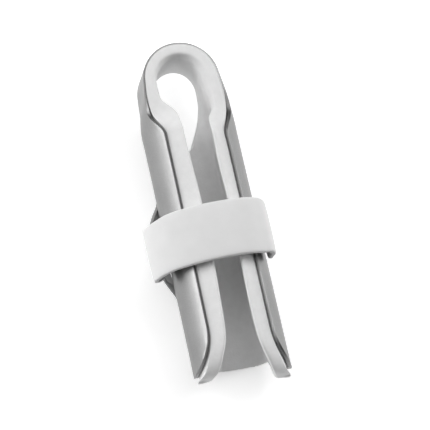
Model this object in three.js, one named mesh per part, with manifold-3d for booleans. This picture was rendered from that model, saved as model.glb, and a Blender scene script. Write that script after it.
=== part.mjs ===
// A finger splint: one bent metal shell, a soft foam lining inside it and a strap band round it.
// Sizes are in millimetres. The splint lies on its back wall: +Z is the side with the slit,
// +Y points to the fingertip loop, and -X is the arm that carries the strap bridge.
import * as THREE from 'three';
import Module from 'manifold-3d';

const wasm = await Module();
wasm.setup();

// Sheet and lining
const metalThickness = 0.9;
const foamThickness = 3.2;
const foamThicknessAtTop = 2.3;
const fitGap = 0.35;

// Plan of the splint, with lengths taken down the arms from the centre of the loop
const loopRadius = 9.45;
const armHalfWidth = 11.6;
const leftArmSplay = 0.5;
const armLength = 73.9;
const armBlend = 13.0;
const rightArmExtra = 2.0;
const endSetback = 3.2;

// Cross-section of the arms: reach is the arc of sheet above or below the middle line
const sideCurlRadius = 11.3;
const wallTurnRadius = 9.5;
const armReach = 9.5;
const tipReach = 0.6;
const flareLength = 9.2;

// Band of the loop and the shoulders where it widens into the arms
const bandReachUp = 6.0;
const bandReachDown = 5.7;
const shoulderPlace = 10.6;
const shoulderLength = 6.8;

// Keyhole between the loop and the back wall
const keyholeLength = 15.0;
const keyholeHalfWidth = 5.35;
const metalSetback = 0.5;

// Soft edge of the lining along the slit and at the tips
const lipRise = 1.8;
const leftLipWidth = 3.5;
const rightLipWidth = 2.7;
const lipOverhang = 1.2;
const tipOverhang = 1.1;
const tipSpread = 0.5;
const endLean = 1.5;
const loopCover = 0.95;

// Strap bridge on the left arm
const bridgePlace = 28.2;
const bridgeLength = 24.4;
const bridgeRampIn = 7.5;
const bridgeRampOut = 11.0;
const bridgeRise = 3.4;
const bridgeReach = -2.4;
const bridgeWidth = 5.6;
const bridgeSlit = 0.35;

// Strap band
const strapPlace = 41.8;
const strapWidth = 14.3;
const strapTurnWidth = 13.6;
const strapTongueWidth = 8.6;
const strapThickness = 1.7;

const clamp01 = (v) => Math.min(1, Math.max(0, v));
const ease = (from, to, v) => {
  const t = clamp01((v - from) / (to - from));
  return t * t * (3 - 2 * t);
};
const mix = (a, b, t) => a + (b - a) * t;

// Half-width of the keyhole at a place up from its round foot, as shares of its sizes
const keyholeRows = [
  { along: 0.0, half: 0.0 },
  { along: 0.02, half: 0.11 },
  { along: 0.07, half: 0.2 },
  { along: 0.22, half: 0.37 },
  { along: 0.4, half: 0.61 },
  { along: 0.58, half: 0.82 },
  { along: 0.75, half: 0.96 },
  { along: 0.93, half: 1.0 },
  { along: 1.0, half: 1.0 },
];

function keyholeHalf(place, setback) {
  const along = (keyholeLength + setback - place) / (keyholeLength + setback);
  if (along <= 0) return 0;
  const above = keyholeRows.findIndex((row) => row.along >= along);
  if (above < 0) return keyholeHalfWidth + setback;
  const high = keyholeRows[above];
  const low = keyholeRows[Math.max(0, above - 1)];
  const t = high.along === low.along ? 0 : (along - low.along) / (high.along - low.along);
  return (keyholeHalfWidth + setback) * mix(low.half, high.half, t);
}

// Shape of the cross-section at a place down one arm (side -1 left, +1 right)
function sectionAt(place, side) {
  const splay = side < 0 ? leftArmSplay * ease(1.5 * armBlend, armLength, place) : 0;
  const halfWidth = mix(loopRadius, armHalfWidth, ease(-0.1 * armBlend, 0.88 * armBlend, place)) + splay;
  const bendUp = ease(0.12 * armBlend, 1.08 * armBlend, place) / sideCurlRadius;
  const bendDown = ease(0, armBlend, place) / wallTurnRadius;
  return { halfWidth, bendUp, bendDown };
}

// A point of the sheet's outer face and its outward normal, at a reach above the middle line.
// No part of the sheet goes lower than the flat back wall.
function outerPoint(section, reach) {
  const bend = reach >= 0 ? section.bendUp : section.bendDown;
  const angle = bend * reach;
  if (angle < -Math.PI / 2) {
    const past = (-Math.PI / 2 - angle) / bend;
    const up = Math.max(-wallTurnRadius, -1 / bend);
    return { out: section.halfWidth - 1 / bend - past, up, nOut: 0, nUp: -1 };
  }
  if (Math.abs(bend) < 1e-4) {
    return { out: section.halfWidth, up: reach, nOut: 1, nUp: 0 };
  }
  return {
    out: section.halfWidth - (1 - Math.cos(angle)) / bend,
    up: Math.max(-wallTurnRadius, Math.sin(angle) / bend),
    nOut: Math.cos(angle),
    nUp: Math.sin(angle),
  };
}

// Reach of the sheet toward the slit: band, shoulder, arm, then the flare at the tip
function reachUp(place) {
  const from = shoulderPlace - shoulderLength / 2;
  const plain = mix(bandReachUp, armReach, ease(from, from + shoulderLength, place));
  const toTip = armLength - place;
  if (toTip >= flareLength) return plain;
  const run = 1 - clamp01(toTip / flareLength);
  return tipReach + (plain - tipReach) * Math.sqrt(Math.max(0, 1 - run * run));
}

// Reach of the sheet toward the back: to the middle of the wall, or to the rim of the keyhole
function reachDown(place, section, depth, setback) {
  const { halfWidth, bendDown } = section;
  const half = keyholeHalf(place, setback);
  if (bendDown < 1e-3) return bandReachDown;
  const radius = 1 / bendDown;
  const flat = halfWidth - radius;
  if (half <= flat) return (Math.PI / 2) * radius + flat - half;
  const turn = Math.acos(Math.max(-1, Math.min(1, 1 - (halfWidth - depth - half) / (radius - depth))));
  const reach = Number.isFinite(turn) ? turn * radius : bandReachDown;
  return Math.max(bandReachDown, reach);
}

// How far a point of the section follows its own arm rather than the back wall
const armShare = (reach, side) => {
  const plain = ease((side > 0 ? -1.1 : -1.3) * wallTurnRadius, tipReach, reach);
  return side > 0 ? plain ** 2.5 : plain;
};

// How far a point of the wall's end follows the tip that stands past the metal
const tipShare = (reach, side) => ease((side > 0 ? -0.55 : -0.85) * armReach, 0, reach);

// Real place down the arm of a point, with the longer right arm and the set-back wall end
function truePlace(place, side, reach, overhang, lean) {
  const share = armShare(reach, side);
  const shift = side > 0 ? rightArmExtra * ease(0, 1.08 * armBlend, place) : 0;
  const ending = ease(armLength - flareLength, armLength, place);
  const leaning = lean * (1 - ease(-1.25 * armReach, -0.7 * armReach, reach));
  const past = mix(leaning, overhang, tipShare(reach, side));
  return place + share * shift - (1 - share) * endSetback * ending + past;
}

// Stations: places down an arm from the loop to the tip, then the angles round the loop
const flareSteps = 8;
const loopSteps = 20;
const armPlaces = [];
for (const share of [0.2, 0.34, 0.46, 0.56, 0.66, 0.76, 0.86, 0.93, 0.98, 1.0]) {
  armPlaces.push(keyholeLength * share);
}
armPlaces.push(keyholeLength + metalSetback);
for (const share of [0.24, 0.31, 0.41, 0.57, 0.73, 0.85]) {
  armPlaces.push(armLength * share);
}
for (let i = 0; i <= flareSteps; i += 1) {
  const turn = (i / flareSteps) * (Math.PI / 2);
  armPlaces.push(armLength - flareLength * (1 - Math.sin(turn)));
}

function stationList() {
  const stations = [];
  for (let i = armPlaces.length - 1; i >= 0; i -= 1) {
    stations.push({ place: armPlaces[i], side: -1, turn: null });
  }
  for (let i = 0; i <= loopSteps; i += 1) {
    stations.push({ place: 0, side: -1, turn: (i / loopSteps) * Math.PI });
  }
  for (const place of armPlaces) {
    stations.push({ place, side: 1, turn: null });
  }
  return stations;
}

// Puts a section point in space: down an arm, or round the loop
function inSpace(station, out, up, reach, overhang, lean = 0) {
  if (station.turn !== null) {
    const { turn } = station;
    return [-Math.cos(turn) * out, Math.sin(turn) * out, up];
  }
  const down = truePlace(station.place, station.side, reach, overhang, lean);
  return [station.side * out, -down, up];
}

// A closed solid from rings of points. Each ring runs round the section: outer face from the slit
// down, the far rim, the inner face back up, the lip. Joined rings meet the other arm at the wall.
function solidFrom(points, faces) {
  return new wasm.Manifold(new wasm.Mesh({
    numProp: 3,
    vertProperties: new Float32Array(points),
    triVerts: new Uint32Array(faces),
  }));
}

function collector() {
  const points = [];
  const faces = [];
  const known = new Map();
  const vertex = (p) => {
    const [x, y, z] = p.map((v) => Math.round(v * 1e4) / 1e4 + 0);
    const key = `${x},${y},${z}`;
    if (!known.has(key)) {
      known.set(key, points.length / 3);
      points.push(x, y, z);
    }
    return known.get(key);
  };
  const face = (a, b, c) => {
    const [i, j, k] = [vertex(a), vertex(b), vertex(c)];
    if (i !== j && j !== k && k !== i) faces.push(i, j, k);
  };
  const quad = (a, b, c, d) => {
    face(a, b, c);
    face(a, c, d);
  };
  const solid = () => {
    const first = solidFrom(points, faces);
    if (first.volume() >= 0) return first;
    const turned = [];
    for (let i = 0; i < faces.length; i += 3) turned.push(faces[i + 1], faces[i], faces[i + 2]);
    return solidFrom(points, turned);
  };
  return { face, quad, solid };
}

function sheetSolid(rings) {
  const mesh = collector();
  const chainOf = (ring) => {
    const inner = [...ring.inner].reverse();
    return [...ring.outer, ...ring.rim, ...inner, ...ring.lip, ring.outer[0]];
  };
  for (let i = 0; i + 1 < rings.length; i += 1) {
    const [one, two] = [rings[i], rings[i + 1]];
    const [chainOne, chainTwo] = [chainOf(one), chainOf(two)];
    const last = one.outer.length - 1;
    for (let j = 0; j + 1 < chainOne.length; j += 1) {
      const acrossWall = j >= last && j <= last + one.rim.length;
      if (acrossWall && one.joined && two.joined) continue;
      mesh.quad(chainOne[j], chainOne[j + 1], chainTwo[j + 1], chainTwo[j]);
    }
  }
  const close = (ring, tri) => {
    for (let j = 0; j + 1 < ring.outer.length; j += 1) {
      tri(ring.outer[j], ring.inner[j + 1], ring.outer[j + 1]);
      tri(ring.outer[j], ring.inner[j], ring.inner[j + 1]);
    }
    const fan = [ring.inner[0], ...ring.lip, ring.outer[0]];
    for (let j = 1; j + 1 < fan.length; j += 1) tri(fan[0], fan[j + 1], fan[j]);
  };
  close(rings[0], mesh.face);
  close(rings[rings.length - 1], (a, b, c) => mesh.face(a, c, b));
  return mesh.solid();
}

// Metal shell: two offset faces of the sheet with square-cut edges
const sheetSteps = 12;

function shellRing(station) {
  const section = sectionAt(station.place, station.side);
  const high = reachUp(station.place);
  const depth = metalThickness + fitGap + foamThickness;
  const low = -reachDown(station.place, section, depth, metalSetback);
  const turnEnd = section.bendDown > 1e-3 ? (-Math.PI / 2) / section.bendDown : -Infinity;
  const flatStart = low < turnEnd - 0.03 * wallTurnRadius ? turnEnd : mix(high, low, 1 - 1 / sheetSteps);
  const at = (step, offset) => {
    const reach = step < sheetSteps ? mix(high, flatStart, step / (sheetSteps - 1)) : low;
    const p = outerPoint(section, reach);
    return inSpace(station, p.out - p.nOut * offset, p.up - p.nUp * offset, reach, 0);
  };
  const steps = [...Array(sheetSteps + 1).keys()];
  return {
    outer: steps.map((step) => at(step, 0)),
    inner: steps.map((step) => at(step, metalThickness)),
    lip: [],
    rim: [],
    joined: station.turn === null && keyholeHalf(station.place, metalSetback) === 0,
  };
}

// Foam lining: follows the metal, with a raised soft lip along the slit and rounded tips
const foamSteps = 12;

// Width of each lip down the arms, as shares of its plain width: the strap presses on it
const lipRows = [
  { along: 0.18, left: 1.0, right: 1.0 },
  { along: 0.31, left: 1.03, right: 1.13 },
  { along: 0.42, left: 1.16, right: 1.02 },
  { along: 0.66, left: 1.14, right: 1.09 },
  { along: 0.74, left: 1.06, right: 1.28 },
  { along: 0.91, left: 0.89, right: 1.22 },
  { along: 1.0, left: 0.86, right: 1.11 },
];

function lipWidthAt(place, side) {
  const plain = side > 0 ? rightLipWidth : leftLipWidth;
  const pick = (row) => plain * (side > 0 ? row.right : row.left);
  const along = place / armLength;
  const above = lipRows.findIndex((row) => row.along >= along);
  if (above === 0) return pick(lipRows[0]);
  if (above < 0) return pick(lipRows[lipRows.length - 1]);
  const [low, high] = [lipRows[above - 1], lipRows[above]];
  return mix(pick(low), pick(high), ease(low.along, high.along, along));
}

// Share of the thinner loop lining: full from the left of the loop to its top, none on the right
function thinShare(station) {
  if (station.turn === null) return station.side > 0 ? 0 : 1 - ease(0, 0.45 * armBlend, station.place);
  return station.turn < Math.PI / 2 ? 1 : Math.sin(station.turn) ** 2;
}

// Where each lip steps inward from the loop's thin edge to the arm's wide one
const armCorner = armHalfWidth - (1 - Math.cos(armReach / sideCurlRadius)) * sideCurlRadius - metalThickness;
const lipStep = {
  left: { from: 0.28, to: 0.66 },
  right: { from: 0.48, to: 0.83 },
};

function foamRing(station, overhang, squeeze) {
  const section = sectionAt(station.place, station.side);
  const high = reachUp(station.place);
  const blend = station.place / armBlend;
  const twist = 0.6 * ease(0.15, 0.6, blend) * (1 - ease(0.9, 1.4, blend));
  const back = metalThickness + fitGap * (1 + twist);
  const thick = mix(foamThickness, foamThicknessAtTop, thinShare(station));
  const low = -reachDown(station.place, section, back + thick, 0);
  const armness = ease(0.23 * armBlend, armBlend, station.place);
  const onward = clamp01((high - tipReach) / (armReach - tipReach));
  const pivotAt = (reach) => back + thick * mix(1, 0.5, ease(-1.3 * armReach, -0.3 * armReach, reach));
  const offsetPoint = (reach, offset) => {
    const p = outerPoint(section, reach);
    const spread = tipSpread * tipShare(reach + 0.08 * armReach, station.side);
    const outward = spread * (overhang / tipOverhang) ** 2;
    const deep = mix(pivotAt(reach), offset, squeeze) - outward;
    return { out: p.out - p.nOut * deep, up: p.up - p.nUp * deep };
  };
  const lean = (endLean * overhang) / tipOverhang;
  const toTip = station.turn === null ? armLength - station.place : armLength;
  const lipPast = lipOverhang * (1 - clamp01(toTip / flareLength));
  const pastAt = (reach) => overhang + lipPast * ease(high - 0.4 * armReach, high, reach);
  const put = (p, reach) => inSpace(station, p.out, p.up, reach, pastAt(reach));
  const putInner = (p, reach) => inSpace(station, p.out, p.up, reach, pastAt(reach), lean);
  const corner = offsetPoint(high, back);
  const rise = mix(0.3, lipRise, armness) * squeeze * mix(0.15, 1, onward);
  const step = station.side > 0 ? lipStep.right : lipStep.left;
  const stepped = station.turn === null ? ease(step.from, step.to, station.place / armBlend) : 0;
  const loopWide = thick * 0.6;
  const inShoulder = 1 - ease(1.2, 1.8, blend);
  const armWide = lipWidthAt(station.place, station.side) + inShoulder * Math.max(0, corner.out - armCorner);
  const wide = mix(loopWide, armWide, stepped) * squeeze;
  const lipInner = { out: corner.out - wide, up: corner.up + 0.35 * squeeze + rise };
  const cover = mix(loopCover, -0.2, armness) * clamp01(onward * 4 + (1 - armness));
  const lipOuter = { out: corner.out + cover * squeeze, up: corner.up + 0.45 * squeeze };
  const lipFoot = { out: corner.out, up: corner.up + 0.35 * squeeze };
  const shoulder = { out: lipInner.out - 0.45 * squeeze, up: lipInner.up - 0.35 * squeeze };
  const innerTop = mix(0, 1, armness);
  const base = offsetPoint(high, back + thick);
  const target = {
    out: mix(base.out, shoulder.out, innerTop),
    up: mix(base.up - 1.2 * squeeze, shoulder.up - 0.9 * squeeze, innerTop),
  };
  const innerAt = (reach) => {
    const p = offsetPoint(reach, back + thick);
    const span = Math.max(high, tipReach);
    const pull = clamp01((reach - high + span) / span) ** 2;
    return { out: p.out + (target.out - base.out) * pull, up: p.up + (target.up - base.up) * pull };
  };
  const steps = [...Array(foamSteps + 1).keys()];
  const reachOf = (step) => mix(high, low, step / foamSteps);
  const joined = station.turn === null && keyholeHalf(station.place, 0) === 0;
  return {
    outer: steps.map((step) => put(offsetPoint(reachOf(step), back), reachOf(step))),
    inner: steps.map((step) => putInner(innerAt(reachOf(step)), reachOf(step))),
    lip: [put(shoulder, high), put(lipInner, high), put(lipOuter, high), put(lipFoot, high)],
    rim: [],
    joined,
  };
}

const stations = stationList();
let shell = sheetSolid(stations.map(shellRing));

// The tips of the lining stand past the metal and round off: share of the overhang, share of the bulk
const tipSteps = [
  { past: 0.35, bulk: 0.97 },
  { past: 0.65, bulk: 0.87 },
  { past: 0.87, bulk: 0.68 },
  { past: 1.0, bulk: 0.42 },
];
const foamRings = stations.map((station) => foamRing(station, 0, 1));
const tipRing = (station, step) => foamRing(station, tipOverhang * step.past, step.bulk);
const foam = sheetSolid([
  ...[...tipSteps].reverse().map((step) => tipRing(stations[0], step)),
  ...foamRings,
  ...tipSteps.map((step) => tipRing(stations[stations.length - 1], step)),
]);

// Strap bridge: a strip of the left wall pressed outward, with a window left behind it
function wallPatch(from, to, top, foot, lift, offset, thickness, steps, solidPlace = Infinity) {
  const mesh = collector();
  const rows = [];
  const across = 4;
  for (let i = 0; i <= steps; i += 1) {
    const place = mix(from, to, i / steps);
    const section = sectionAt(place, -1);
    const row = [];
    for (let j = 0; j <= across; j += 1) {
      const p = outerPoint(section, mix(top, foot, j / across));
      const put = (away) => [-(p.out + p.nOut * away), -place, p.up + p.nUp * away];
      const under = place > solidPlace ? -offset : lift(place) - offset;
      row.push([put(lift(place) - offset), put(under - thickness)]);
    }
    rows.push(row);
  }
  for (let i = 0; i < steps; i += 1) {
    for (let j = 0; j < across; j += 1) {
      const [a, b, c, d] = [rows[i][j], rows[i][j + 1], rows[i + 1][j + 1], rows[i + 1][j]];
      mesh.quad(a[0], b[0], c[0], d[0]);
      mesh.quad(d[1], c[1], b[1], a[1]);
    }
    const [a, d] = [rows[i][0], rows[i + 1][0]];
    const [b, c] = [rows[i][across], rows[i + 1][across]];
    mesh.quad(a[0], d[0], d[1], a[1]);
    mesh.quad(b[1], c[1], c[0], b[0]);
  }
  for (let j = 0; j < across; j += 1) {
    const [a, b] = [rows[0][j], rows[0][j + 1]];
    const [d, c] = [rows[steps][j], rows[steps][j + 1]];
    mesh.quad(b[0], a[0], a[1], b[1]);
    mesh.quad(d[0], c[0], c[1], d[1]);
  }
  return mesh.solid();
}

const bridgeEnd = bridgePlace + bridgeLength;
const bridgeFoot = bridgeReach - bridgeWidth;
const bridgeLift = (place) => {
  const rampIn = clamp01((place - bridgePlace) / bridgeRampIn);
  const rampOut = clamp01((bridgeEnd - place) / bridgeRampOut);
  return bridgeRise * Math.sin((rampIn * Math.PI) / 2) * Math.sin((rampOut * Math.PI) / 2);
};
const windowInset = 1.6;
const windowInsetOut = 0.38 * bridgeRampOut;
const windowCut = wallPatch(
  bridgePlace + windowInset, bridgeEnd - windowInsetOut, bridgeReach, bridgeFoot,
  () => 0, -0.5, metalThickness + 0.8, 6,
);
const bridge = wallPatch(
  bridgePlace - 0.6, bridgeEnd + 0.6, bridgeReach - bridgeSlit, bridgeFoot + bridgeSlit,
  bridgeLift, 0.05, metalThickness - 0.1, 26, bridgeEnd - windowInsetOut,
);
shell = shell.subtract(windowCut).add(bridge);

// Strap band: outer face of the strap seen along the splint. It starts as a tongue under the
// bridge, turns over the left arm, crosses the slit and ends bonded to the right wall.
// half is a share of the arms' half-width, beyond is in strap thicknesses outside that, up is a
// share of the wall's turn radius, and shift is a share of the tongue's width.
const strapOutline = [
  { half: -1.0, beyond: -0.44, up: -0.568, wide: strapTongueWidth, shift: 0.28 },
  { half: -1.0, beyond: -0.69, up: -0.484, wide: strapTongueWidth, shift: 0.28 },
  { half: -1.0, beyond: -1.00, up: -0.347, wide: strapTongueWidth, shift: 0.28 },
  { half: -1.0, beyond: -1.32, up: -0.200, wide: 0.75 * strapWidth, shift: 0.12 },
  { half: -1.0, beyond: -2.10, up: -0.095, wide: 0.92 * strapWidth, shift: -0.03 },
  { half: -1.0, beyond: -3.00, up: 0.032, wide: strapTurnWidth, shift: -0.05 },
  { half: -1.0, beyond: -3.26, up: 0.189, wide: strapTurnWidth, shift: -0.05 },
  { half: -1.0, beyond: -2.88, up: 0.400, wide: strapTurnWidth, shift: -0.05 },
  { half: -1.0, beyond: -1.94, up: 0.653, wide: 0.958 * strapWidth, shift: -0.03 },
  { half: -1.0, beyond: -0.53, up: 0.895, wide: 0.986 * strapWidth, shift: 0.00 },
  { half: -0.888, beyond: 0.00, up: 1.042, wide: strapWidth, shift: 0.00 },
  { half: -0.69, beyond: 0.00, up: 1.158, wide: strapWidth, shift: 0.00 },
  { half: -0.284, beyond: 0.00, up: 1.305, wide: strapWidth, shift: 0.00 },
  { half: 0.138, beyond: 0.00, up: 1.358, wide: strapWidth, shift: 0.00 },
  { half: 0.56, beyond: 0.00, up: 1.326, wide: strapWidth, shift: 0.00 },
  { half: 0.81, beyond: 0.00, up: 1.211, wide: strapWidth, shift: 0.00 },
  { half: 1.0, beyond: 0.00, up: 1.095, wide: 0.965 * strapWidth, shift: 0.00 },
  { half: 1.0, beyond: 0.60, up: 0.958, wide: strapTurnWidth, shift: -0.04 },
  { half: 1.0, beyond: 0.74, up: 0.811, wide: strapTurnWidth, shift: -0.05 },
  { half: 1.0, beyond: 0.56, up: 0.653, wide: strapTurnWidth, shift: -0.05 },
  { half: 1.0, beyond: 0.53, up: 0.516, wide: strapTurnWidth, shift: -0.05 },
];
const strapCurve = new THREE.CatmullRomCurve3(
  strapOutline.map((row) => new THREE.Vector3(
    row.half * armHalfWidth + row.beyond * strapThickness, 0, row.up * wallTurnRadius,
  )), false, 'centripetal',
);
const strapSteps = 72;

function strapSolid() {
  const mesh = collector();
  const rows = [];
  for (let i = 0; i <= strapSteps; i += 1) {
    const at = strapCurve.getUtoTmapping(i / strapSteps);
    const point = strapCurve.getPoint(at);
    const along = strapCurve.getTangent(at);
    const outX = -along.z;
    const outZ = along.x;
    const row = at * (strapOutline.length - 1);
    const low = strapOutline[Math.floor(row)];
    const high = strapOutline[Math.min(strapOutline.length - 1, Math.floor(row) + 1)];
    const half = mix(low.wide, high.wide, row % 1) / 2;
    const shift = mix(low.shift, high.shift, row % 1) * strapTongueWidth;
    const soft = 0.35;
    const ring = [
      [0, half - soft], [soft, half], [strapThickness - soft, half], [strapThickness, half - soft],
      [strapThickness, soft - half], [strapThickness - soft, -half], [soft, -half], [0, soft - half],
    ];
    rows.push(ring.map(([deep, side]) => [
      point.x - outX * deep, shift - strapPlace + side, point.z - outZ * deep,
    ]));
  }
  for (let i = 0; i < strapSteps; i += 1) {
    const [one, two] = [rows[i], rows[i + 1]];
    for (let j = 0; j < one.length; j += 1) {
      const next = (j + 1) % one.length;
      mesh.quad(one[j], one[next], two[next], two[j]);
    }
  }
  const [first, last] = [rows[0], rows[strapSteps]];
  for (let j = 1; j + 1 < first.length; j += 1) {
    mesh.face(first[0], first[j + 1], first[j]);
    mesh.face(last[0], last[j], last[j + 1]);
  }
  return mesh.solid();
}

const strap = strapSolid();

// Turns a solid into a named mesh
function meshOf(name, solid, material) {
  const { vertProperties, triVerts, numProp } = solid.getMesh();
  const positions = new Float32Array((vertProperties.length / numProp) * 3);
  for (let i = 0; i < positions.length / 3; i += 1) {
    for (let k = 0; k < 3; k += 1) positions[i * 3 + k] = vertProperties[i * numProp + k];
  }
  const geometry = new THREE.BufferGeometry();
  geometry.setAttribute('position', new THREE.BufferAttribute(positions, 3));
  geometry.setIndex(new THREE.BufferAttribute(new Uint32Array(triVerts), 1));
  geometry.computeVertexNormals();
  const mesh = new THREE.Mesh(geometry, material);
  mesh.name = name;
  return mesh;
}

const group = new THREE.Group();
group.name = 'finger_splint';
group.add(meshOf('shell', shell, new THREE.MeshStandardMaterial({
  color: '#8f9092', roughness: 0.45, metalness: 0.6,
})));
group.add(meshOf('foam_lining', foam, new THREE.MeshStandardMaterial({
  color: '#e6e6e5', roughness: 0.9, metalness: 0,
})));
group.add(meshOf('strap', strap, new THREE.MeshStandardMaterial({
  color: '#e2e2e1', roughness: 0.85, metalness: 0,
})));

// The origin is the middle of the foot of the whole splint's box
const box = new THREE.Box3().setFromObject(group);
const middle = box.getCenter(new THREE.Vector3());
for (const mesh of group.children) {
  mesh.geometry.translate(-middle.x, -middle.y, -box.min.z);
}

export default group;
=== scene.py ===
import math

import bpy
from mathutils import Matrix, Vector


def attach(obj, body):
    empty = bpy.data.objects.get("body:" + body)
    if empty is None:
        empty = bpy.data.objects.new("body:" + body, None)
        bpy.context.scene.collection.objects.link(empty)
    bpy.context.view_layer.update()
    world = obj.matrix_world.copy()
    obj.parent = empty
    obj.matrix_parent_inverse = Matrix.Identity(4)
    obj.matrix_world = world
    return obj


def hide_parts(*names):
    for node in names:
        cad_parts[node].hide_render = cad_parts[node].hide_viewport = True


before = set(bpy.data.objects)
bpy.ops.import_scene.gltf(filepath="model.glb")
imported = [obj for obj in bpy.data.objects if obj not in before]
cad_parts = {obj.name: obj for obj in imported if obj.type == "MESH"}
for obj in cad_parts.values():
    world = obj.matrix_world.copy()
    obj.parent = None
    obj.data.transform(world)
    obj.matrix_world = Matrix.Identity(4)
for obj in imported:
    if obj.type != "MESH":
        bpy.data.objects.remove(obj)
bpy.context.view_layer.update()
mm = 0.001


# small helpers used by every piece
def deselectAll():
    if bpy.context.mode != "OBJECT":
        bpy.ops.object.mode_set(mode="OBJECT")
    bpy.ops.object.select_all(action="DESELECT")


def makeActive(piece):
    deselectAll()
    piece.select_set(True)
    bpy.context.view_layer.objects.active = piece


def linear(hexColour):
    # sRGB hex to the linear values that the shader sockets hold
    channels = [int(hexColour[i:i + 2], 16) / 255 for i in (1, 3, 5)]
    return tuple(c / 12.92 if c <= 0.04045 else ((c + 0.055) / 1.055) ** 2.4 for c in channels) + (1.0,)


def share(low, high, value):
    # 0 up to low, 1 from high on, and a smooth rise between
    t = min(1, max(0, (value - low) / (high - low)))
    return t * t * (3 - 2 * t)


def addNode(tree, kind, inputs=None, **settings):
    node = tree.nodes.new(kind)
    for key, value in settings.items():
        setattr(node, key, value)
    for key, value in (inputs or {}).items():
        if isinstance(value, bpy.types.NodeSocket):
            tree.links.new(value, node.inputs[key])
        else:
            node.inputs[key].default_value = value
    return node


def newMaterial(name):
    material = bpy.data.materials.new(name)
    material.use_nodes = True
    tree = material.node_tree
    place = addNode(tree, "ShaderNodeTexCoord").outputs["Object"]
    return material, tree, tree.nodes["Principled BSDF"], place


def applyModifiers(piece):
    makeActive(piece)
    for modifier in list(piece.modifiers):
        bpy.ops.object.modifier_apply(modifier=modifier.name)


cadCopy = {
    "mergeDistance": 0.004 * mm,
    "quadFaceAngle": 50.0,
    "quadShapeAngle": 60.0,
}


def pieceFromNode(nodeName, pieceName):
    # a merged copy of a CAD node, mostly of quads, ready to be shaped
    deselectAll()
    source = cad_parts[nodeName]
    piece = bpy.data.objects.new(pieceName, source.data.copy())
    bpy.context.scene.collection.objects.link(piece)
    piece.data.materials.clear()
    makeActive(piece)
    bpy.ops.object.mode_set(mode="EDIT")
    bpy.ops.mesh.select_all(action="SELECT")
    bpy.ops.mesh.remove_doubles(threshold=cadCopy["mergeDistance"])
    bpy.ops.mesh.tris_convert_to_quads(
        face_threshold=math.radians(cadCopy["quadFaceAngle"]),
        shape_threshold=math.radians(cadCopy["quadShapeAngle"]),
    )
    bpy.ops.object.mode_set(mode="OBJECT")
    if piece.data.has_custom_normals:
        bpy.ops.mesh.customdata_custom_splitnormals_clear()
    return piece


# camera: the photograph's frame, 430 x 430, looking down on the slit
photo = {
    "pixels": 430,
    "azimuth": 12.2,
    "elevation": 18.1,
    "tilt": 12.97,
    "pixelsPerMm": 4.114,
    "distance": 1.2,
    "centre": (3.93 * mm, 0.33 * mm, 9.5 * mm),
    "sensor": 36.0,
    "nearestSeen": 0.05,
    "farthestSeen": 20.0,
}


def addCamera():
    azimuth, elevation, tilt = (math.radians(photo[k]) for k in ("azimuth", "elevation", "tilt"))
    back = Vector((
        -math.sin(azimuth) * math.cos(elevation),
        -math.sin(elevation),
        math.cos(azimuth) * math.cos(elevation),
    ))
    side = Vector((math.cos(azimuth), 0, math.sin(azimuth)))
    rise = back.cross(side)
    right = side * math.cos(tilt) - rise * math.sin(tilt)
    up = side * math.sin(tilt) + rise * math.cos(tilt)
    deselectAll()
    bpy.ops.object.camera_add()
    camera = bpy.context.object
    camera.name = "photoCamera"
    camera.data.sensor_width = photo["sensor"]
    frameWidth = photo["pixels"] / photo["pixelsPerMm"] * mm
    camera.data.lens = photo["sensor"] * photo["distance"] / frameWidth
    camera.data.clip_start = photo["nearestSeen"]
    camera.data.clip_end = photo["farthestSeen"]
    turn = Matrix((right, up, back)).transposed().to_4x4()
    camera.matrix_world = Matrix.Translation(Vector(photo["centre"]) + back * photo["distance"]) @ turn
    bpy.context.scene.camera = camera


addCamera()
print("camera placed")

# white paper sweep, and soft boxes round the object: azimuth from +Y towards +X, elevation, watts
studio = {
    "floorColour": "#fbfbfb",
    "floorGlow": 0.416,
    "floorRoughness": 0.95,
    "floorSize": 3.0,
    "floorBelow": 0.03 * mm,
    "skyStrength": 0.0,
    "boxDistance": 0.9,
    "boxSize": 0.5,
    "boxes": {
        "boxAbove": (0, 89, 0.89),
        "boxTipHigh": (0, 50, 1.24),
        "boxRightHigh": (60, 50, 3.06),
        "boxLeftHigh": (300, 50, 1.34),
        "boxRightLow": (90, 20, 2.91),
        "boxLeftLow": (270, 20, 1.78),
        "boxLeftTipLow": (288, 20, 3.01),
    },
}


def addStudio():
    deselectAll()
    bpy.ops.mesh.primitive_plane_add(size=studio["floorSize"], location=(0, 0, -studio["floorBelow"]))
    floor = bpy.context.object
    floor.name = "studioFloor"
    bpy.ops.object.transform_apply(location=True, rotation=True, scale=True)
    # lit from behind, so that it stays pure white and keeps only the soft contact shadow
    material, tree, shader, _ = newMaterial("matte white paper sweep")
    shader.inputs["Base Color"].default_value = linear(studio["floorColour"])
    shader.inputs["Roughness"].default_value = studio["floorRoughness"]
    shader.inputs["Emission Color"].default_value = (1, 1, 1, 1)
    shader.inputs["Emission Strength"].default_value = studio["floorGlow"]
    floor.data.materials.append(material)
    for name, (azimuth, elevation, power) in studio["boxes"].items():
        turn, rise = math.radians(azimuth), math.radians(elevation)
        toward = Vector((math.sin(turn) * math.cos(rise), math.cos(turn) * math.cos(rise), math.sin(rise)))
        bpy.ops.object.light_add(type="AREA", location=toward * studio["boxDistance"])
        light = bpy.context.object
        light.name = name
        light.data.energy = power
        light.data.size = studio["boxSize"]
        light.rotation_mode = "QUATERNION"
        light.rotation_quaternion = (-toward).to_track_quat("-Z", "Y")
    world = bpy.data.worlds.new("studioSky")
    world.use_nodes = True
    world.node_tree.nodes["Background"].inputs["Strength"].default_value = studio["skyStrength"]
    bpy.context.scene.world = world
    # plain tones, as in a cut-out product photograph
    bpy.context.scene.view_settings.view_transform = "Standard"


addStudio()
print("floor and lights placed")


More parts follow.
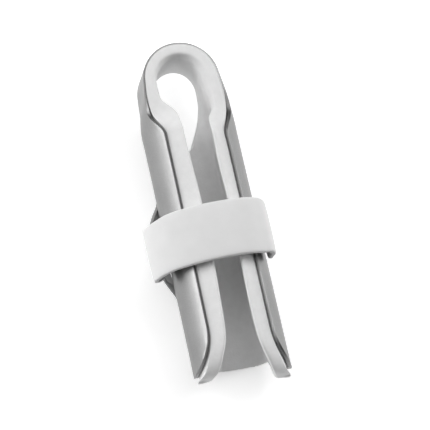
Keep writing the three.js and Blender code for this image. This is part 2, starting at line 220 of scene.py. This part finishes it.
# materials
def bareAluminium():
    # soft aluminium sheet, blasted and tumbled: an even grey satin, a fine speckle, faint rolling lines
    material, tree, shader, place = newMaterial("bare aluminium sheet, blasted satin finish")
    # blasted pits, drawn 0.22 mm wide
    speckle = addNode(tree, "ShaderNodeTexNoise", {
        "Vector": place, "Scale": 1 / (0.22 * mm), "Detail": 2.0, "Roughness": 0.6,
    })
    # rolling lines 12 mm long and 0.5 mm apart, along the splint
    linePlace = addNode(tree, "ShaderNodeMapping", {
        "Vector": place, "Scale": (1 / (0.5 * mm), 1 / (12 * mm), 1 / (0.5 * mm)),
    })
    lines = addNode(tree, "ShaderNodeTexNoise", {"Vector": linePlace.outputs[0], "Scale": 1.0, "Detail": 2.0})
    cloud = addNode(tree, "ShaderNodeTexNoise", {"Vector": place, "Scale": 1 / (6 * mm), "Detail": 4.0})
    tone = addNode(tree, "ShaderNodeMix", {
        0: cloud.outputs["Fac"], 6: linear("#838383"), 7: linear("#929292"),
    }, data_type="RGBA")
    flecked = addNode(tree, "ShaderNodeMix", {
        0: speckle.outputs["Fac"], 6: tone.outputs[2], 7: linear("#a9a9a9"),
    }, data_type="RGBA")
    fleckShare = addNode(tree, "ShaderNodeMapRange", {
        "Value": speckle.outputs["Fac"], "From Min": 0.35, "From Max": 0.75, "To Min": 0.0, "To Max": 0.30,
    })
    tree.links.new(fleckShare.outputs[0], flecked.inputs[0])
    rough = addNode(tree, "ShaderNodeMapRange", {
        "Value": lines.outputs["Fac"], "From Min": 0.3, "From Max": 0.7, "To Min": 0.37, "To Max": 0.43,
    })
    height = addNode(tree, "ShaderNodeMath", {
        0: lines.outputs["Fac"], 1: 0.25, 2: speckle.outputs["Fac"],
    }, operation="MULTIPLY_ADD")
    bump = addNode(tree, "ShaderNodeBump", {
        "Height": height.outputs[0], "Strength": 0.35, "Distance": 0.012 * mm,
    })
    tree.links.new(flecked.outputs[2], shader.inputs["Base Color"])
    tree.links.new(rough.outputs[0], shader.inputs["Roughness"])
    tree.links.new(bump.outputs[0], shader.inputs["Normal"])
    shader.inputs["Metallic"].default_value = 1.0
    return material


def edgeHighlightPaint():
    # the same sheet on its cut corners with a painted highlight: a thin line of much brighter colour, and
    # slightly smoother
    material, tree, shader, place = newMaterial("bare aluminium, painted corner highlight")
    highlightMottle = addNode(tree, "ShaderNodeTexNoise", {"Vector": place, "Scale": 1 / (0.6 * mm), "Detail": 2.0})
    # painted highlight: a light grey far brighter than the sheet's own tone
    tone = addNode(tree, "ShaderNodeMix", {
        0: highlightMottle.outputs["Fac"], 6: linear("#d8d8d8"), 7: linear("#efefef"),
    }, data_type="RGBA")
    tree.links.new(tone.outputs[2], shader.inputs["Base Color"])
    shader.inputs["Metallic"].default_value = 1.0
    shader.inputs["Roughness"].default_value = 0.34
    return material


def whiteFoam():
    # closed-cell polyethylene foam with a cut skin: dull white, fine pores, slightly uneven tone
    material, tree, shader, place = newMaterial("white closed-cell foam, cut skin")
    # pores 0.4 mm wide
    pores = addNode(tree, "ShaderNodeTexVoronoi", {"Vector": place, "Scale": 1 / (0.42 * mm)})
    soft = addNode(tree, "ShaderNodeTexNoise", {"Vector": place, "Scale": 1 / (1.6 * mm), "Detail": 4.0})
    tone = addNode(tree, "ShaderNodeMix", {
        0: soft.outputs["Fac"], 6: linear("#e0e0e0"), 7: linear("#ededed"),
    }, data_type="RGBA")
    height = addNode(tree, "ShaderNodeMath", {
        0: pores.outputs["Distance"], 1: soft.outputs["Fac"],
    }, operation="ADD")
    bump = addNode(tree, "ShaderNodeBump", {
        "Height": height.outputs[0], "Strength": 0.3, "Distance": 0.06 * mm,
    })
    tree.links.new(tone.outputs[2], shader.inputs["Base Color"])
    tree.links.new(bump.outputs[0], shader.inputs["Normal"])
    shader.inputs["Roughness"].default_value = 0.92
    shader.inputs["Specular IOR Level"].default_value = 0.25
    return material


def softTape():
    # brushed foam tape: dull white with a short felted nap
    material, tree, shader, place = newMaterial("white foam tape, brushed nap")
    nap = addNode(tree, "ShaderNodeTexNoise", {"Vector": place, "Scale": 1 / (0.3 * mm), "Detail": 3.0})
    patch = addNode(tree, "ShaderNodeTexNoise", {"Vector": place, "Scale": 1 / (4 * mm), "Detail": 2.0})
    tone = addNode(tree, "ShaderNodeMix", {
        0: patch.outputs["Fac"], 6: linear("#dedede"), 7: linear("#e7e7e7"),
    }, data_type="RGBA")
    bump = addNode(tree, "ShaderNodeBump", {
        "Height": nap.outputs["Fac"], "Strength": 0.3, "Distance": 0.05 * mm,
    })
    tree.links.new(tone.outputs[2], shader.inputs["Base Color"])
    tree.links.new(bump.outputs[0], shader.inputs["Normal"])
    shader.inputs["Roughness"].default_value = 0.88
    shader.inputs["Specular IOR Level"].default_value = 0.25
    return material


def creaseSharpEdges(piece, angle, amount, softBelow=-1.0):
    # keeps corners from melting away when the piece is subdivided,
    # all but those nearer the wrist than softBelow
    makeActive(piece)
    bpy.ops.object.mode_set(mode="EDIT")
    bpy.ops.mesh.select_mode(type="EDGE")
    bpy.ops.mesh.select_all(action="DESELECT")
    bpy.ops.mesh.edges_select_sharp(sharpness=math.radians(angle))
    bpy.ops.object.mode_set(mode="OBJECT")
    for edge in piece.data.edges:
        if min(piece.data.vertices[v].co.y for v in edge.vertices) < softBelow:
            edge.select = False
    bpy.ops.object.mode_set(mode="EDIT")
    bpy.ops.transform.edge_crease(value=amount)
    bpy.ops.mesh.select_all(action="DESELECT")
    bpy.ops.object.mode_set(mode="OBJECT")


def vertexGroup(piece, name, weightOf):
    group = piece.vertex_groups.new(name=name)
    for vertex in piece.data.vertices:
        weight = weightOf(vertex.co)
        if weight > 0:
            group.add([vertex.index], weight, "REPLACE")
    return group.name


def subdivide(piece, levels):
    smooth = piece.modifiers.new("softShape", "SUBSURF")
    smooth.levels = levels
    smooth.render_levels = levels


# metal shell: the bent sheet with its bridge, smoothed, its cut edges tumbled round, with a painted highlight
# on the arms' top corners
shellSettings = {
    "sharpAngle": 50.0,
    "levels": 1,
    "edgeRadius": 0.30 * mm,
    "edgeSteps": 3,
    "smoothAngle": 40.0,
    "highlightBefore": 23.0 * mm,
    "highlightAbove": 8.0 * mm,
}


def buildShell():
    shell = pieceFromNode("shell", "metalShell")
    shell.data.materials.append(bareAluminium())
    shell.data.materials.append(edgeHighlightPaint())
    creaseSharpEdges(shell, shellSettings["sharpAngle"], 1.0)
    subdivide(shell, shellSettings["levels"])
    applyModifiers(shell)
    bevel = shell.modifiers.new("tumbledEdge", "BEVEL")
    bevel.width = shellSettings["edgeRadius"]
    bevel.segments = shellSettings["edgeSteps"]
    bevel.limit_method = "ANGLE"
    bevel.angle_limit = math.radians(shellSettings["sharpAngle"])
    # the bevel faces take the painted-highlight material
    bevel.material = 1
    applyModifiers(shell)
    # the painted highlight stays only on the arms' top corners; the other bevel faces go back to the plain
    # sheet
    for face in shell.data.polygons:
        beyond = face.center.y > shellSettings["highlightBefore"]
        if beyond or face.center.z < shellSettings["highlightAbove"]:
            face.material_index = 0
    bpy.ops.object.shade_smooth_by_angle(angle=math.radians(shellSettings["smoothAngle"]))
    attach(shell, "root")
    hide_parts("shell")
    return shell


# foam lining: soft rounded edges, slightly uneven surface
foamSettings = {
    "sharpAngle": 48.0,
    "edgeCrease": 0.45,
    "levels": 2,
    "waveSize": 5.0 * mm,
    "waveHeight": 0.10 * mm,
    "fill": 0.9,
    "tipStart": -39.6 * mm,
    "tipFull": -41.0 * mm,
    "tipFoot": 5.0 * mm,
    "tipTop": 8.0 * mm,
    "tipRounds": 14,
    "tipFactor": 0.5,
    "tipTurn": 2.4 * mm,
    "tipOutward": {-1: 1.3 * mm, 1: 1.1 * mm},
    "bulbLength": 1.5 * mm,
    "bulbRadius": 1.2 * mm,
    "bulbNarrower": 0.36,
    "noseEnd": 0.3 * mm,
    "noseBack": 0.9 * mm,
    "noseLength": 1.6 * mm,
    "lipOnward": 0.5 * mm,
    "lipLength": 5.0 * mm,
    "middle": 2.0 * mm,
    "footEnd": -36.3 * mm,
    "footReach": 2.2 * mm,
    "footTarget": -37.8 * mm,
    "footSideStart": 5.0 * mm,
    "footSideFull": 6.0 * mm,
    "footLow": 8.0 * mm,
    "footHigh": 10.0 * mm,
    "innerMiddle": 4.5 * mm,
    "innerHeight": 4.45 * mm,
    "innerCurve": 110,
    "innerDeep": 1.6 * mm,
    "innerShallow": 0.4 * mm,
}


def tipWeight(co):
    # 0 before the tips, 1 on their ends, and none on the floor of the channel
    along = share(-foamSettings["tipStart"], -foamSettings["tipFull"], -co.y)
    return along * share(foamSettings["tipFoot"], foamSettings["tipTop"], co.z)


def tipPoints(foam, side):
    # the mesh points of one arm's tip and the y of its end
    points = [
        vertex.co for vertex in foam.data.vertices
        if vertex.co.z > foamSettings["tipFoot"] and vertex.co.y < foamSettings["footEnd"]
        and (vertex.co.x - foamSettings["middle"]) * side > 0
    ]
    return points, min(co.y for co in points)


def turnTips(foam):
    # the tips turn outward past the metal
    for side in (-1, 1):
        points, end = tipPoints(foam, side)
        for co in points:
            near = 1 - share(0, foamSettings["tipTurn"], co.y - end)
            co.x += side * foamSettings["tipOutward"][side] * near


def fillFoot(foam):
    # the channel's wrist end runs on, along the inner surface alone, into the right wall
    footEnd = foamSettings["footEnd"]
    for vertex in foam.data.vertices:
        co = vertex.co
        aside = max(0, co.x - foamSettings["innerMiddle"])
        innerHeight = foamSettings["innerHeight"] + foamSettings["innerCurve"] * aside ** 2
        corner = share(foamSettings["footSideStart"], foamSettings["footSideFull"], co.x)
        corner *= 1 - share(foamSettings["footLow"], foamSettings["footHigh"], co.z)
        corner *= share(
            innerHeight - foamSettings["innerDeep"], innerHeight - foamSettings["innerShallow"], co.z
        )
        nearEnd = share(-footEnd - foamSettings["footReach"], -footEnd, -co.y)
        co.y -= max(0, co.y - foamSettings["footTarget"]) * corner * nearEnd


def bluntTips(foam):
    # the moulded nose is narrowed and pushed back into the lip, so that each tip ends round and full
    for side in (-1, 1):
        points, end = tipPoints(foam, side)
        outermost = max(co.x * side for co in points if co.y < end + foamSettings["noseEnd"])
        centre = side * (outermost - foamSettings["bulbRadius"])
        for co in points:
            back = co.y - end
            near = 1 - share(0, foamSettings["bulbLength"], back)
            co.x = centre + (co.x - centre) * (1 - foamSettings["bulbNarrower"] * near)
            co.y += foamSettings["noseBack"] * (1 - share(0, foamSettings["noseLength"], back))
            co.y -= foamSettings["lipOnward"] * (
                1 - share(foamSettings["noseLength"], foamSettings["lipLength"], back)
            )


def buildFoam():
    foam = pieceFromNode("foam_lining", "foamLining")
    foam.data.materials.append(whiteFoam())
    creaseSharpEdges(
        foam, foamSettings["sharpAngle"], foamSettings["edgeCrease"], foamSettings["tipStart"]
    )
    subdivide(foam, foamSettings["levels"])
    applyModifiers(foam)
    turnTips(foam)
    fillFoot(foam)
    bluntTips(foam)
    rounding = foam.modifiers.new("roundTips", "SMOOTH")
    rounding.factor = foamSettings["tipFactor"]
    rounding.iterations = foamSettings["tipRounds"]
    rounding.vertex_group = vertexGroup(foam, "tips", tipWeight)
    wave = bpy.data.textures.new("foamWaves", "CLOUDS")
    wave.noise_scale = foamSettings["waveSize"]
    uneven = foam.modifiers.new("uneven", "DISPLACE")
    uneven.texture = wave
    uneven.strength = foamSettings["waveHeight"]
    uneven.mid_level = 0.5
    applyModifiers(foam)
    bpy.ops.object.shade_smooth()
    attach(foam, "root")
    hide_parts("foam_lining")
    return foam


# strap band: open band, one end on the right wall, a tongue under the bridge
strapSettings = {
    "levels": 2,
    "fill": 0.8,
}


def buildStrap():
    strap = pieceFromNode("strap", "strapBand")
    strap.data.materials.append(softTape())
    subdivide(strap, strapSettings["levels"])
    applyModifiers(strap)
    bpy.ops.object.shade_smooth()
    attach(strap, "root")
    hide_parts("strap")
    return strap


buildShell()
print("metal shell made")
buildFoam()
print("foam lining made")
buildStrap()
print("strap made")

deselectAll()
